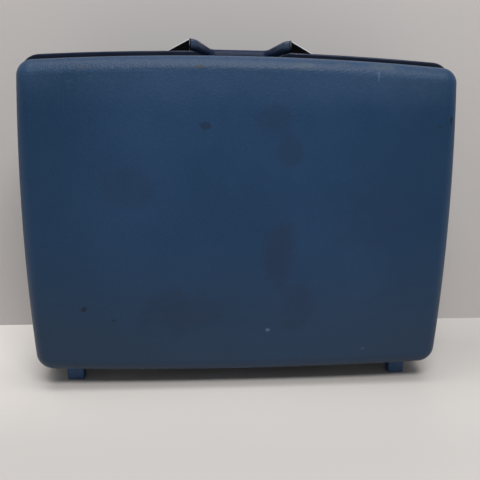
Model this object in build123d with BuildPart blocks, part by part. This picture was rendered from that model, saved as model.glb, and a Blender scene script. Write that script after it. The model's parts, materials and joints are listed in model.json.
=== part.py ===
from build123d import *
import math
import os

# A moulded hard-shell suitcase standing upright on its hinge side. Millimetres, X along the case,
# the lid towards -Y and the base towards +Y, Z up. The origin is on the floor, under the middle
# of the case. Latch pieces are drawn in the latch's own frame: u along the top, y, and w up.

# Case shells
shell_width = 595.0
shell_bottom = 26.3
shell_top = 470.0
case_depth = 190.0
lid_depth = 80.0
wall = 3.0
side_bow = 7.0
top_bow = 11.0
bottom_bow = 5.0
top_corner_r = 22.0
bottom_corner_r = 25.0
roll_r = 20.0
face_crown = 5.0

# Closure frames
ridge_proud = 7.0
frame_inset = 5.0
frame_depth = 14.0
edge_seat = 9.0
ridge_round = 1.6
closure_gap = 0.3
tongue_foot = 2.2
tongue_thick = 2.0
tongue_length = 3.9
tongue_clear = 0.2
tongue_start_z = 62.0

# Handle well, and the dip in the ridge before it
dip_half_top = 70.0
dip_half_floor = 53.0
dip_lip = 1.0
well_end_gap = 1.3
well_width = 61.0
well_front_gap = 5.0
well_foot_r = 3.0
well_over = 8.0
well_corner_r = 12.0
scoop_half_length = 38.0
scoop_margin = 8.0
scoop_depth = 12.0
scoop_foot_r = 8.0
scoop_corner_r = 14.0
rest_gap = 0.3

# Handle
pivot_z = 485.0
handle_half = 71.3
grip_inset = 26.3
handle_reach = 40.0
handle_drop = 13.4
grip_thick = 16.0
grip_width = 19.0
grip_round = 6.5
shoulder_inset = 4.3
shoulder_reach = 1.6
end_overrun = 0.4
shoulder_bend_r = 8.0
grip_bend_r = 18.0
cap_thick = 0.9
cap_proud = 0.6
handle_pin_r = 2.5
handle_pin_depth = 10.0
bore_end_gap = 0.4
running_clear = 0.05
bracket_gap = 0.5
bracket_length = 43.5
bracket_height = 23.5
bracket_width = 22.0
pin_cover = 0.4
ramp_thick = 1.5
seat_gap = 0.3

# Latches
latch_inset = 97.5
latch_well_half = 17.0
latch_floor = 1.0
ridge_front_wall = 2.5
lever_half = 14.0
lever_top = 6.6
lever_thick = 1.4
lever_reach = 45.0
lever_tail = 2.0
lever_pivot_reach = 37.0
lever_pivot_w = 3.4
tail_clear = 0.25
skirt_length = 31.0
skirt_thick = 1.2
nose_thick = 1.9
nose_drop = 0.8
nose_round = 1.6
lever_pin_r = 1.3
pin_overhang = 0.6
ear_gap = 0.4
ear_thick = 1.2
ear_r = 2.9
plate_half = 31.0
plate_length = 34.0
plate_thick = 1.2
plate_corner_r = 3.0
keeper_half = 11.0
keeper_thick = 1.0
keeper_lip_thick = 1.5
keeper_foot = 5.0
hook_clear = 0.3
leaf_spring_width = 8.0
leaf_spring_thick = 0.5
leaf_spring_foot = 7.0
leaf_spring_run = 12.0
leaf_spring_lead = 6.0

# Latch release and lock
button_u = 22.0
button_length = 10.0
button_width = 14.0
button_reach = 25.5
button_top = 6.3
button_round = 1.2
button_lift = 0.3
button_travel = 2.5
rib_count = 3
rib_pitch = 2.4
rib_width = 0.9
rib_depth = 0.5
rib_length = 9.8
bolt_width = 4.0
bolt_thick = 1.4
bolt_w = 2.6
rail_gap = 0.4
rail_thick = 1.1
rail_height = 2.4
lock_u = 23.0
lock_boss_r = 6.8
lock_boss_height = 4.3
plug_r = 4.8
plug_proud = 0.6
plug_floor_gap = 0.3
key_slot_width = 1.2
key_slot_length = 6.0
key_slot_depth = 3.0

# Hinges
hinge_inset = 127.5
hinge_length = 60.0
hinge_seat_z = 21.8
leaf_thick = 1.4
leaf_margin = 1.0
leaf_overlap = 1.0
knuckle_r = 3.2
knuckle_count = 5
knuckle_gap = 0.3
knuckle_room = 0.6
hinge_pin_r = 1.4

# Feet
foot_inset = 41.5
foot_width = 24.5
foot_margin = 44.0
foot_length = 21.0
foot_corner_r = 3.0
foot_sole_round = 1.6

# Lining, pocket and straps
lining_gap = 0.3
lining_thick = 2.0
strap_inset = 167.5
strap_width = 25.0
strap_thick = 2.2
strap_bottom_z = 58.0
strap_top_z = 436.0
buckle_z = 250.0
buckle_width = 37.0
buckle_height = 30.0
buckle_rim = 4.0
buckle_bar = 5.0
buckle_thick = 3.0
pocket_inset = 77.5
pocket_bottom_z = 70.0
pocket_top_z = 300.0
pocket_thick = 4.0
pocket_corner_r = 14.0

# Places worked out from these sizes
half_width = shell_width / 2
half_depth = case_depth / 2
closure_y = lid_depth - half_depth
latch_x = half_width - latch_inset
hinge_x = half_width - hinge_inset
foot_outer_x = half_width - foot_inset
strap_x = half_width - strap_inset
pocket_half_width = half_width - pocket_inset
lever_pivot_y = closure_y + lever_pivot_reach
button_y = closure_y + button_reach
mid_z = (shell_top + shell_bottom) / 2
corner_reach = math.hypot(half_width, (shell_top - shell_bottom) / 2)
crown_r = (corner_reach**2 + face_crown**2) / (2 * face_crown)
top_chord = half_width - side_bow
top_arc_r = (top_chord**2 + top_bow**2) / (2 * top_bow)
lid_closure_y = closure_y - closure_gap
lid_frame_y = lid_closure_y - frame_depth
base_frame_y = closure_y + frame_depth
lid_edge_y = lid_frame_y + edge_seat
base_edge_y = base_frame_y - edge_seat
well_half_length = handle_half - well_end_gap
grip_half = handle_half - grip_inset
shoulder_x = handle_half - shoulder_inset
foot_reach = half_depth - foot_margin
pivot_y = base_frame_y + seat_gap + bracket_width / 2
handle_tilt = math.degrees(math.asin(handle_drop / handle_reach))
tilt_sin = handle_drop / handle_reach
tilt_cos = math.sqrt(1 - tilt_sin**2)
grip_low = (grip_width / 2 - grip_round) * tilt_sin + (grip_thick / 2 - grip_round) * tilt_cos + grip_round
well_floor = pivot_z - handle_drop - grip_low - rest_gap
well_y = base_frame_y + well_front_gap + well_width / 2
bracket_x = handle_half + cap_thick + bracket_gap
tail_r = lever_pivot_w - plate_thick - tail_clear
lever_under = lever_top - lever_thick
lever_front_y = lever_pivot_y - lever_reach
plate_front_y = base_frame_y + seat_gap
hinge_axis_y = closure_y - closure_gap / 2
hinge_axis_z = hinge_seat_z - knuckle_r
lining_inset = wall + lining_gap
ramp_slope = bracket_height / bracket_length
ramp_fall = ramp_thick * math.hypot(1, ramp_slope)
bracket_top = shell_top + bracket_height - ramp_fall
bracket_pin_depth = (bracket_top - pin_cover - pivot_z - handle_pin_r) / ramp_slope

os.makedirs("parts", exist_ok=True)


def save(part, name):
    part.label = name
    export_step(part, f"parts/{name}.step")


def side_name(side):
    return "left" if side < 0 else "right"


def crown_drop(x, z):
    """How far the crowned face has fallen back at a place on it."""
    return crown_r - math.sqrt(crown_r**2 - x**2 - (z - mid_z) ** 2)


def latch_place(side):
    """The latch's own frame on the bowed top: x along the top, z out of it."""
    lean = math.asin(latch_x / top_arc_r)
    height = shell_top - top_arc_r * (1 - math.cos(lean))
    along = (math.cos(lean), 0, -side * math.sin(lean))
    out = (side * math.sin(lean), 0, math.cos(lean))
    return Plane(origin=(side * latch_x, 0, height), x_dir=along, z_dir=out).location


def case_outline(grow=0.0):
    """The bowed outline of the shell, moved outwards by `grow`."""
    half = half_width + grow
    top = shell_top + grow
    bottom = shell_bottom - grow
    corner_x = half - side_bow
    upper_left = (-corner_x, top - top_bow)
    upper_right = (corner_x, top - top_bow)
    lower_right = (corner_x, bottom + bottom_bow)
    lower_left = (-corner_x, bottom + bottom_bow)
    with BuildSketch() as outline:
        with BuildLine():
            ThreePointArc(upper_left, (0, top), upper_right)
            ThreePointArc(upper_right, (half, mid_z), lower_right)
            ThreePointArc(lower_right, (0, bottom), lower_left)
            ThreePointArc(lower_left, (-half, mid_z), upper_left)
        make_face()
        fillet(outline.vertices().group_by(Axis.Y)[-1], top_corner_r + grow)
        fillet(outline.vertices().group_by(Axis.Y)[0], bottom_corner_r + grow)
    return outline.sketch


def outline_ring(outer, inner):
    with BuildSketch() as ring:
        add(case_outline(outer))
        add(case_outline(inner), mode=Mode.SUBTRACT)
    return ring.sketch


def ring_solid(outer, inner, y_from, y_to):
    """A ring that follows the case's outline between two depths."""
    with BuildPart() as ring:
        with BuildSketch(Plane.XZ.offset(-y_from)):
            add(outline_ring(outer, inner))
        extrude(amount=y_from - y_to)
    return ring.part


def shell_blank(side, inset, start_y):
    """Half of the case as a closed block with a crowned face; side -1 is the lid, 1 the base."""
    face_y = side * (half_depth - inset)
    with BuildPart() as blank:
        with BuildSketch(Plane.XZ.offset(-start_y)):
            add(case_outline(-inset))
        extrude(amount=start_y - face_y)
        with Locations((0, face_y - side * (crown_r - inset), mid_z)):
            Sphere(crown_r - inset, mode=Mode.INTERSECT)
        crowned = blank.faces().sort_by(Axis.Y, reverse=side > 0)[0]
        fillet(crowned.edges(), roll_r - inset)
    return blank.part


def well_form(grow):
    """The sunk well that the handle lies in, with its finger scoop, grown by `grow`."""
    with BuildPart() as form:
        with BuildSketch(Plane.XY.offset(shell_top + well_over)):
            with Locations((0, well_y)):
                RectangleRounded(
                    2 * (well_half_length + grow), well_width + 2 * grow, well_corner_r + grow
                )
        extrude(amount=well_floor - shell_top - well_over - grow)
        fillet(form.faces().sort_by(Axis.Z)[0].edges(), well_foot_r)
        with BuildSketch(Plane.XY.offset(well_floor)):
            with Locations((0, well_y)):
                RectangleRounded(
                    2 * (scoop_half_length + grow),
                    well_width - 2 * scoop_margin + 2 * grow,
                    scoop_corner_r + grow,
                )
        extrude(amount=-scoop_depth - grow)
        fillet(form.faces().sort_by(Axis.Z)[0].edges(), scoop_foot_r)
    return form.part


def lid_shell():
    with BuildPart() as shell:
        add(shell_blank(-1, 0, lid_edge_y))
        add(shell_blank(-1, wall, lid_edge_y), mode=Mode.SUBTRACT)
    return shell.part


def base_shell():
    cavity = shell_blank(1, wall, base_edge_y) - well_form(wall)
    with BuildPart() as shell:
        add(shell_blank(1, 0, base_edge_y))
        add(well_form(0), mode=Mode.SUBTRACT)
        add(cavity, mode=Mode.SUBTRACT)
    return shell.part


def dip_cutter():
    """The length of ridge that is missing before the handle, with its sloping ends."""
    floor = shell_top + dip_lip
    slope = (dip_half_top - dip_half_floor) / (ridge_proud - dip_lip)
    over = 2 * ridge_proud
    reach = dip_half_floor + slope * over
    with BuildPart() as cutter:
        with BuildSketch(Plane.XZ):
            with BuildLine():
                Polyline(
                    (-dip_half_floor, floor),
                    (dip_half_floor, floor),
                    (reach, floor + over),
                    (-reach, floor + over),
                    close=True,
                )
            make_face()
        extrude(amount=case_depth, both=True)
    return cutter.part


def block(x_from, x_to, y_from, y_to, z_from, z_to):
    """A plain cutter between six limits."""
    with BuildPart() as cutter:
        with BuildSketch(Plane.XY.offset(z_from)):
            with Locations(((x_from + x_to) / 2, (y_from + y_to) / 2)):
                Rectangle(x_to - x_from, y_to - y_from)
        extrude(amount=z_to - z_from)
    return cutter.part


def latch_cutter(side, y_from, y_to):
    top = 2 * ridge_proud
    cutter = block(-latch_well_half, latch_well_half, y_from, y_to, latch_floor, top)
    return latch_place(side) * cutter


def hinge_cutters(side):
    """The flat seat for a hinge under both frames, and the room that its knuckles turn in."""
    half = hinge_length / 2 + knuckle_gap
    centre = side * hinge_x
    seat = block(centre - half, centre + half, lid_frame_y, base_frame_y, 0, hinge_seat_z)
    room_half = knuckle_r + knuckle_room
    room = block(
        centre - half,
        centre + half,
        hinge_axis_y - room_half,
        hinge_axis_y + room_half,
        0,
        hinge_seat_z + knuckle_room,
    )
    return [seat, room]


def closure_frame(side):
    """The moulded ring round one half's edge: side -1 carries the groove, 1 the tongue."""
    meet_y = lid_closure_y if side < 0 else closure_y
    far_y = lid_frame_y if side < 0 else base_frame_y
    edge_y = lid_edge_y if side < 0 else base_edge_y
    with BuildPart() as frame:
        with BuildSketch(Plane.XZ.offset(-meet_y)):
            add(case_outline(ridge_proud))
        extrude(amount=meet_y - far_y)
        far_face = frame.faces().sort_by(Axis.Y, reverse=side > 0)[0]
        fillet(far_face.edges(), ridge_round)
        with BuildSketch(Plane.XZ.offset(-meet_y)):
            add(case_outline(-frame_inset))
        extrude(amount=meet_y - far_y, mode=Mode.SUBTRACT)
        add(ring_solid(0, -wall, edge_y, far_y), mode=Mode.SUBTRACT)
        if side < 0:
            inner = tongue_foot - tongue_clear
            outer = tongue_foot + tongue_thick + tongue_clear
            depth = tongue_length + tongue_clear - closure_gap
            groove = ring_solid(outer, inner, meet_y, meet_y - depth)
            add(groove, mode=Mode.SUBTRACT)
        else:
            tongue = ring_solid(tongue_foot + tongue_thick, tongue_foot, meet_y, meet_y - tongue_length)
            low = block(-shell_width, shell_width, meet_y - case_depth, meet_y, 0, tongue_start_z)
            add(tongue - low)
        add(dip_cutter(), mode=Mode.SUBTRACT)
        for end in (-1, 1):
            if side < 0:
                add(latch_cutter(end, lid_frame_y + ridge_front_wall, meet_y), mode=Mode.SUBTRACT)
            else:
                add(latch_cutter(end, meet_y - case_depth, far_y), mode=Mode.SUBTRACT)
            for cutter in hinge_cutters(end):
                add(cutter, mode=Mode.SUBTRACT)
    return frame.part


def foot(end, side):
    """A moulded foot under one half, trimmed to the shell that it is screwed to."""
    centre_x = end * (foot_outer_x - foot_width / 2)
    centre_y = side * (foot_reach - foot_length / 2)
    start_y = lid_edge_y if side < 0 else base_edge_y
    with BuildPart() as block_foot:
        with BuildSketch():
            with Locations((centre_x, centre_y)):
                RectangleRounded(foot_width, foot_length, foot_corner_r)
        extrude(amount=shell_bottom + bottom_corner_r)
        sole = block_foot.faces().sort_by(Axis.Z)[0]
        fillet(sole.edges(), foot_sole_round)
        add(shell_blank(side, 0, start_y), mode=Mode.SUBTRACT)
    return block_foot.part


def handle_path():
    """The middle line of the handle in its own plane, from one end to the other."""
    run_x = handle_half - shoulder_x
    end_x = shoulder_x + run_x * (1 + end_overrun)
    end_reach = -shoulder_reach * end_overrun
    with BuildLine() as path:
        FilletPolyline(
            (-end_x, end_reach),
            (-shoulder_x, shoulder_reach),
            (-grip_half, handle_reach),
            (grip_half, handle_reach),
            (shoulder_x, shoulder_reach),
            (end_x, end_reach),
            radius=[shoulder_bend_r, grip_bend_r, grip_bend_r, shoulder_bend_r],
        )
    return path.line


def handle_place():
    return Location((0, pivot_y, pivot_z), (-handle_tilt, 0, 0))


def handle_grip():
    path = handle_path()
    start = path @ 0
    along = path % 0
    with BuildPart() as grip:
        with BuildSketch(Plane(origin=start, x_dir=(-along.Y, along.X, 0), z_dir=along)):
            RectangleRounded(grip_width, grip_thick, grip_round)
        sweep(path=path)
        split(bisect_by=Plane.YZ.offset(handle_half), keep=Keep.BOTTOM)
        split(bisect_by=Plane.YZ.offset(-handle_half), keep=Keep.TOP)
        for end in (-1, 1):
            with BuildSketch(Plane.YZ.offset(end * handle_half)):
                Circle(handle_pin_r + running_clear)
            extrude(amount=-end * handle_pin_depth, mode=Mode.SUBTRACT)
    return handle_place() * grip.part


def handle_cap(end):
    """The steel cap on the handle's end face."""
    with BuildPart() as cap:
        with BuildSketch(Plane.YZ.offset(end * handle_half)):
            RectangleRounded(grip_width + 2 * cap_proud, grip_thick, grip_round)
            Circle(handle_pin_r + running_clear, mode=Mode.SUBTRACT)
        extrude(amount=end * cap_thick)
    return handle_place() * cap.part


def handle_pin(end):
    inner = handle_half - handle_pin_depth + bore_end_gap
    outer = bracket_x + bracket_pin_depth
    with BuildPart() as pin:
        with BuildSketch(Plane.YZ.offset(end * inner)):
            with Locations((pivot_y, pivot_z)):
                Circle(handle_pin_r)
        extrude(amount=end * (outer - inner))
    return pin.part


def wedge(end, lower, width):
    """The wedge beside the handle's end, its sloping top lowered by `lower`, its foot in the shell."""
    high = shell_top + bracket_height - lower
    low = shell_top - lower
    foot_z = shell_top - bracket_height
    outer_x = bracket_x + bracket_length
    with BuildPart() as form:
        with BuildSketch(Plane.XZ.offset(-pivot_y)):
            with BuildLine():
                Polyline(
                    (end * bracket_x, foot_z),
                    (end * outer_x, foot_z),
                    (end * outer_x, low),
                    (end * bracket_x, high),
                    close=True,
                )
            make_face()
        extrude(amount=width / 2, both=True)
    return form.part


def handle_bracket(end):
    with BuildPart() as bracket:
        add(wedge(end, ramp_fall, bracket_width))
        with BuildSketch(Plane.YZ.offset(end * bracket_x)):
            with Locations((pivot_y, pivot_z)):
                Circle(handle_pin_r)
        extrude(amount=end * bracket_pin_depth, mode=Mode.SUBTRACT)
        add(shell_blank(1, 0, base_edge_y), mode=Mode.SUBTRACT)
    return bracket.part


def bracket_cover(end):
    """The bright plate over the bracket's slope."""
    with BuildPart() as cover:
        add(wedge(end, 0, bracket_width))
        add(wedge(end, ramp_fall, 2 * bracket_width), mode=Mode.SUBTRACT)
        add(shell_blank(1, 0, base_edge_y), mode=Mode.SUBTRACT)
    return cover.part


def latch_plate(side):
    """The latch's base plate with the lever's two ears, the button's rails and the lock's boss."""
    ear_inner = lever_half + ear_gap
    rail_y = button_width / 2 + rail_gap + rail_thick / 2
    rail_length = button_length + button_travel
    with BuildPart() as plate:
        with BuildSketch():
            with Locations((0, plate_front_y + plate_length / 2)):
                RectangleRounded(2 * plate_half, plate_length, plate_corner_r)
        extrude(amount=plate_thick)
        with BuildSketch(Plane.XY.offset(plate_thick)):
            with Locations((-side * lock_u, button_y)):
                Circle(lock_boss_r)
        extrude(amount=lock_boss_height)
        boss_top = plate.faces().sort_by(Axis.Z)[-1]
        chamfer(boss_top.edges(), plate_thick / 2)
        with BuildSketch(Plane.XY.offset(plate_thick + lock_boss_height)):
            with Locations((-side * lock_u, button_y)):
                Circle(plug_r + running_clear)
        extrude(amount=-lock_boss_height, mode=Mode.SUBTRACT)
        for end in (-1, 1):
            with BuildSketch(Plane.YZ.offset(end * ear_inner)):
                with Locations((lever_pivot_y, lever_pivot_w)):
                    Circle(ear_r)
                with Locations((lever_pivot_y, lever_pivot_w / 2)):
                    Rectangle(2 * ear_r, lever_pivot_w)
                with Locations((lever_pivot_y, lever_pivot_w)):
                    Circle(lever_pin_r, mode=Mode.SUBTRACT)
            extrude(amount=end * ear_thick)
            with BuildSketch(Plane.XY.offset(plate_thick)):
                with Locations((side * (button_u + button_travel / 2), button_y + end * rail_y)):
                    Rectangle(rail_length, rail_thick)
            extrude(amount=rail_height)
    return latch_place(side) * plate.part


def latch_lever(side):
    """The lever over the closure: a top plate with a hooked nose, and two skirts on the pin."""
    nose_y = lever_front_y + nose_thick
    skirt_y = lever_pivot_y - skirt_length
    inner_half = lever_half - skirt_thick
    with BuildPart() as lever:
        with BuildSketch(Plane.YZ):
            with BuildLine():
                Polyline(
                    (skirt_y, lever_under),
                    (skirt_y + tail_r, lever_pivot_w - tail_r),
                    (lever_pivot_y, lever_pivot_w - tail_r),
                    (lever_pivot_y, lever_under),
                    close=True,
                )
            make_face()
            with Locations((lever_pivot_y, lever_pivot_w)):
                Circle(tail_r)
                Circle(lever_pin_r + running_clear, mode=Mode.SUBTRACT)
            with Locations((button_y, bolt_w)):
                Rectangle(bolt_width + 2 * hook_clear, bolt_thick + 2 * hook_clear, mode=Mode.SUBTRACT)
        extrude(amount=lever_half, both=True)
        with BuildSketch(Plane.YZ):
            with Locations((lever_pivot_y - skirt_length / 2, lever_pivot_w)):
                Rectangle(2 * skirt_length, 2 * lever_top)
        extrude(amount=inner_half, both=True, mode=Mode.SUBTRACT)
        with BuildSketch(Plane.YZ):
            with BuildLine():
                Polyline(
                    (lever_front_y, lever_under - nose_drop),
                    (nose_y, lever_under - nose_drop),
                    (nose_y, lever_under),
                    (lever_pivot_y + lever_tail, lever_under),
                    (lever_pivot_y + lever_tail, lever_top),
                    (lever_front_y, lever_top),
                    close=True,
                )
            make_face()
        extrude(amount=lever_half, both=True)
        corners = lever.edges().filter_by(Axis.Z).sort_by(Axis.Y)[:2]
        fillet(corners, nose_round)
    return latch_place(side) * lever.part


def lever_pin(side):
    half = lever_half + ear_gap + ear_thick + pin_overhang
    with BuildPart() as pin:
        with BuildSketch(Plane.YZ):
            with Locations((lever_pivot_y, lever_pivot_w)):
                Circle(lever_pin_r)
        extrude(amount=half, both=True)
    return latch_place(side) * pin.part


def leaf_spring(side):
    """The bent leaf under the lever that lifts it when the latch lets go."""
    rest_w = plate_thick + leaf_spring_thick / 2
    rise = lever_under - hook_clear - leaf_spring_thick - rest_w
    bend_y = lever_pivot_y - leaf_spring_lead
    run_y = bend_y - leaf_spring_foot
    with BuildPart() as spring:
        with BuildSketch(Plane.YZ):
            with BuildLine() as bend:
                foot_line = Line((bend_y, rest_w), (run_y, rest_w))
                TangentArc(foot_line @ 1, (run_y - leaf_spring_run, rest_w + rise), tangent=foot_line % 1)
            trace(bend.line, leaf_spring_thick)
        extrude(amount=leaf_spring_width / 2, both=True)
    return latch_place(side) * spring.part


def release_button(side):
    """The ribbed slide button, with the short bolt that faces the lever's skirt."""
    bolt_tip = lever_half + hook_clear
    button_inner = button_u - button_length / 2
    with BuildPart() as button:
        with BuildSketch(Plane.XY.offset(plate_thick + button_lift)):
            with Locations((side * button_u, button_y)):
                RectangleRounded(button_length, button_width, button_round)
        extrude(amount=button_top - plate_thick - button_lift)
        fillet(button.faces().sort_by(Axis.Z)[-1].edges(), button_round / 2)
        with BuildSketch(Plane.XY.offset(button_top)):
            with GridLocations(rib_pitch, 0, rib_count, 1):
                with Locations((side * button_u, button_y)):
                    Rectangle(rib_width, rib_length)
        extrude(amount=-rib_depth, mode=Mode.SUBTRACT)
        with BuildSketch(Plane.YZ.offset(side * bolt_tip)):
            with Locations((button_y, bolt_w)):
                Rectangle(bolt_width, bolt_thick)
        extrude(amount=side * (button_inner + button_round - bolt_tip))
    return latch_place(side) * button.part


def lock_plug(side):
    plug_foot = plate_thick + plug_floor_gap
    plug_top = plate_thick + lock_boss_height + plug_proud
    with BuildPart() as plug:
        with BuildSketch(Plane.XY.offset(plug_foot)):
            with Locations((-side * lock_u, button_y)):
                Circle(plug_r)
        extrude(amount=plug_top - plug_foot)
        with BuildSketch(Plane.XY.offset(plug_top)):
            with Locations((-side * lock_u, button_y)):
                SlotOverall(key_slot_length, key_slot_width)
        extrude(amount=-key_slot_depth, mode=Mode.SUBTRACT)
    return latch_place(side) * plug.part


def keeper(side):
    """The steel catch in the lid's pocket, with the lip that the lever's nose drops behind."""
    lip_front = lever_front_y + nose_thick + hook_clear
    lip_rear = lip_front + keeper_lip_thick
    lip_top = lever_under - nose_drop - hook_clear
    foot_top = latch_floor + keeper_thick
    rear = lid_closure_y - keeper_thick
    with BuildPart() as catch:
        with BuildSketch(Plane.YZ):
            with BuildLine():
                Polyline(
                    (lip_front, latch_floor),
                    (rear, latch_floor),
                    (rear, foot_top),
                    (lip_rear, foot_top),
                    (lip_rear, lip_top),
                    (lip_front, lip_top),
                    close=True,
                )
            make_face()
        extrude(amount=keeper_half, both=True)
    return latch_place(side) * catch.part


def hinge_leaf(end, side):
    """One leaf of a hinge under the frames: side -1 is the lid's leaf, 1 the base's."""
    pitch = hinge_length / knuckle_count
    start_x = end * hinge_x - hinge_length / 2
    edge_y = hinge_axis_y + side * (knuckle_r + knuckle_room)
    far_y = hinge_axis_y + side * (frame_depth - leaf_margin)
    joined_y = edge_y + side * leaf_overlap
    bore_r = hinge_pin_r + (running_clear if side < 0 else 0)
    with BuildPart() as leaf:
        with BuildSketch(Plane.XY.offset(hinge_seat_z)):
            with Locations((end * hinge_x, (edge_y + far_y) / 2)):
                Rectangle(hinge_length, abs(far_y - edge_y))
        extrude(amount=-leaf_thick)
        for number in range(knuckle_count):
            if (number % 2 == 0) == (side > 0):
                with BuildSketch(Plane.YZ.offset(start_x + number * pitch + knuckle_gap / 2)):
                    with Locations((hinge_axis_y, hinge_axis_z)):
                        Circle(knuckle_r)
                    with Locations(((hinge_axis_y + joined_y) / 2, hinge_seat_z - leaf_thick / 2)):
                        Rectangle(abs(joined_y - hinge_axis_y), leaf_thick)
                extrude(amount=pitch - knuckle_gap)
        with BuildSketch(Plane.YZ.offset(start_x)):
            with Locations((hinge_axis_y, hinge_axis_z)):
                Circle(bore_r)
        extrude(amount=hinge_length, mode=Mode.SUBTRACT)
    return leaf.part


def hinge_pin(end):
    with BuildPart() as pin:
        with BuildSketch(Plane.YZ.offset(end * hinge_x)):
            with Locations((hinge_axis_y, hinge_axis_z)):
                Circle(hinge_pin_r)
        extrude(amount=hinge_length / 2, both=True)
    return pin.part


def lining(side):
    """The padded lining of one half; the base's is carried round the handle well."""
    start_y = lid_frame_y - lining_gap if side < 0 else base_frame_y + lining_gap
    inner = shell_blank(side, lining_inset + lining_thick, start_y)
    if side > 0:
        inner = inner - well_form(lining_inset + lining_thick)
    with BuildPart() as cloth:
        add(shell_blank(side, lining_inset, start_y))
        add(inner, mode=Mode.SUBTRACT)
        if side > 0:
            add(well_form(lining_inset), mode=Mode.SUBTRACT)
    return cloth.part


def lining_face_y(x, z):
    """How deep the lining's inner face lies at a place on the crowned back."""
    return half_depth - lining_inset - lining_thick - crown_drop(x, z)


def lid_pocket():
    """The gathered pocket sewn to the lid's lining."""
    back = -lining_face_y(pocket_half_width, pocket_bottom_z) + lining_gap
    with BuildPart() as pocket:
        with BuildSketch(Plane.XZ.offset(-back)):
            with Locations((0, (pocket_bottom_z + pocket_top_z) / 2)):
                RectangleRounded(2 * pocket_half_width, pocket_top_z - pocket_bottom_z, pocket_corner_r)
        extrude(amount=-pocket_thick)
    return pocket.part


def packing_strap(side):
    back = lining_face_y(strap_x + strap_width / 2, strap_bottom_z) - lining_gap
    with BuildPart() as strap:
        with BuildSketch(Plane.XZ.offset(-back)):
            with Locations((side * strap_x, (strap_bottom_z + strap_top_z) / 2)):
                Rectangle(strap_width, strap_top_z - strap_bottom_z)
        extrude(amount=strap_thick)
    return strap.part


def strap_buckle(side):
    """The slide buckle on a strap: a frame with a bar across it."""
    strap_face = lining_face_y(strap_x + strap_width / 2, strap_bottom_z) - lining_gap - strap_thick
    with BuildPart() as buckle:
        with BuildSketch(Plane.XZ.offset(-strap_face)):
            with Locations((side * strap_x, buckle_z)):
                RectangleRounded(buckle_width, buckle_height, buckle_rim)
                Rectangle(
                    buckle_width - 2 * buckle_rim, buckle_height - 2 * buckle_rim, mode=Mode.SUBTRACT
                )
                Rectangle(buckle_width - buckle_rim, buckle_bar)
        extrude(amount=buckle_thick)
    return buckle.part


save(lid_shell(), "lid_shell")
save(base_shell(), "base_shell")
save(closure_frame(-1), "lid_frame")
save(closure_frame(1), "base_frame")
save(lining(-1), "lid_lining")
save(lining(1), "base_lining")
save(lid_pocket(), "lid_pocket")
save(handle_grip(), "handle_grip")
for hand in (-1, 1):
    end_name = side_name(hand)
    save(foot(hand, -1), f"front_foot_{end_name}")
    save(foot(hand, 1), f"rear_foot_{end_name}")
    save(handle_cap(hand), f"handle_cap_{end_name}")
    save(handle_pin(hand), f"handle_pin_{end_name}")
    save(handle_bracket(hand), f"handle_bracket_{end_name}")
    save(bracket_cover(hand), f"bracket_cover_{end_name}")
    save(latch_plate(hand), f"latch_plate_{end_name}")
    save(latch_lever(hand), f"latch_lever_{end_name}")
    save(lever_pin(hand), f"lever_pin_{end_name}")
    save(leaf_spring(hand), f"lever_spring_{end_name}")
    save(release_button(hand), f"release_button_{end_name}")
    save(lock_plug(hand), f"lock_plug_{end_name}")
    save(keeper(hand), f"keeper_{end_name}")
    save(hinge_leaf(hand, -1), f"lid_hinge_leaf_{end_name}")
    save(hinge_leaf(hand, 1), f"base_hinge_leaf_{end_name}")
    save(hinge_pin(hand), f"hinge_pin_{end_name}")
    save(packing_strap(hand), f"packing_strap_{end_name}")
    save(strap_buckle(hand), f"strap_buckle_{end_name}")
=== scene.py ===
# %% [markdown]
# A moulded hard-shell suitcase stands on its feet, with its closed lid towards the camera.
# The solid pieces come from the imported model, which fixes every size and place. This script
# adds what a solid model leaves out: the finishes, the cloth inside, the webbing and the small
# fasteners. All lengths are in metres, with X along the case, Y from the lid to the base and Z up.

# %% Load the model
import json
import math
import bmesh
import bpy
from mathutils import Matrix, Vector, noise


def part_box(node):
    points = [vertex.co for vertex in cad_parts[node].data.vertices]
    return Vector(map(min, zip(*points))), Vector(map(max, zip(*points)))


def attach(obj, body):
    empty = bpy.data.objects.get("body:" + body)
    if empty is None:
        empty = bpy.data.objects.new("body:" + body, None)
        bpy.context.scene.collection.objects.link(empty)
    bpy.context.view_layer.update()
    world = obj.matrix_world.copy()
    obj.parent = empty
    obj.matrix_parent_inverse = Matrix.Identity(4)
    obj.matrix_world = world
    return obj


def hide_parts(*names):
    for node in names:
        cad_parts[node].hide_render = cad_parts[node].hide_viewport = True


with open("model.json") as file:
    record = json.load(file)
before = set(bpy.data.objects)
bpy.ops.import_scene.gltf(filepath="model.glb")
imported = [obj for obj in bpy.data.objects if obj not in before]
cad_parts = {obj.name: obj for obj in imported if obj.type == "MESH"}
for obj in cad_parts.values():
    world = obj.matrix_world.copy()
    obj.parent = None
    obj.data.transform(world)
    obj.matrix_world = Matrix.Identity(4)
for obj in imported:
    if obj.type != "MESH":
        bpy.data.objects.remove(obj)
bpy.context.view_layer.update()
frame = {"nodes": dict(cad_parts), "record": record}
nodes = frame["nodes"]
print("nodes:", len(nodes))

# %% [markdown]
# A finish is a small network of shader nodes. Wiring them one by one hides the idea, so two
# helpers make the network read like a sum. `Wire` wraps one socket, and arithmetic on it adds
# Math nodes. `Finish` holds one material, and its `node` method adds any other kind of node.

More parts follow.
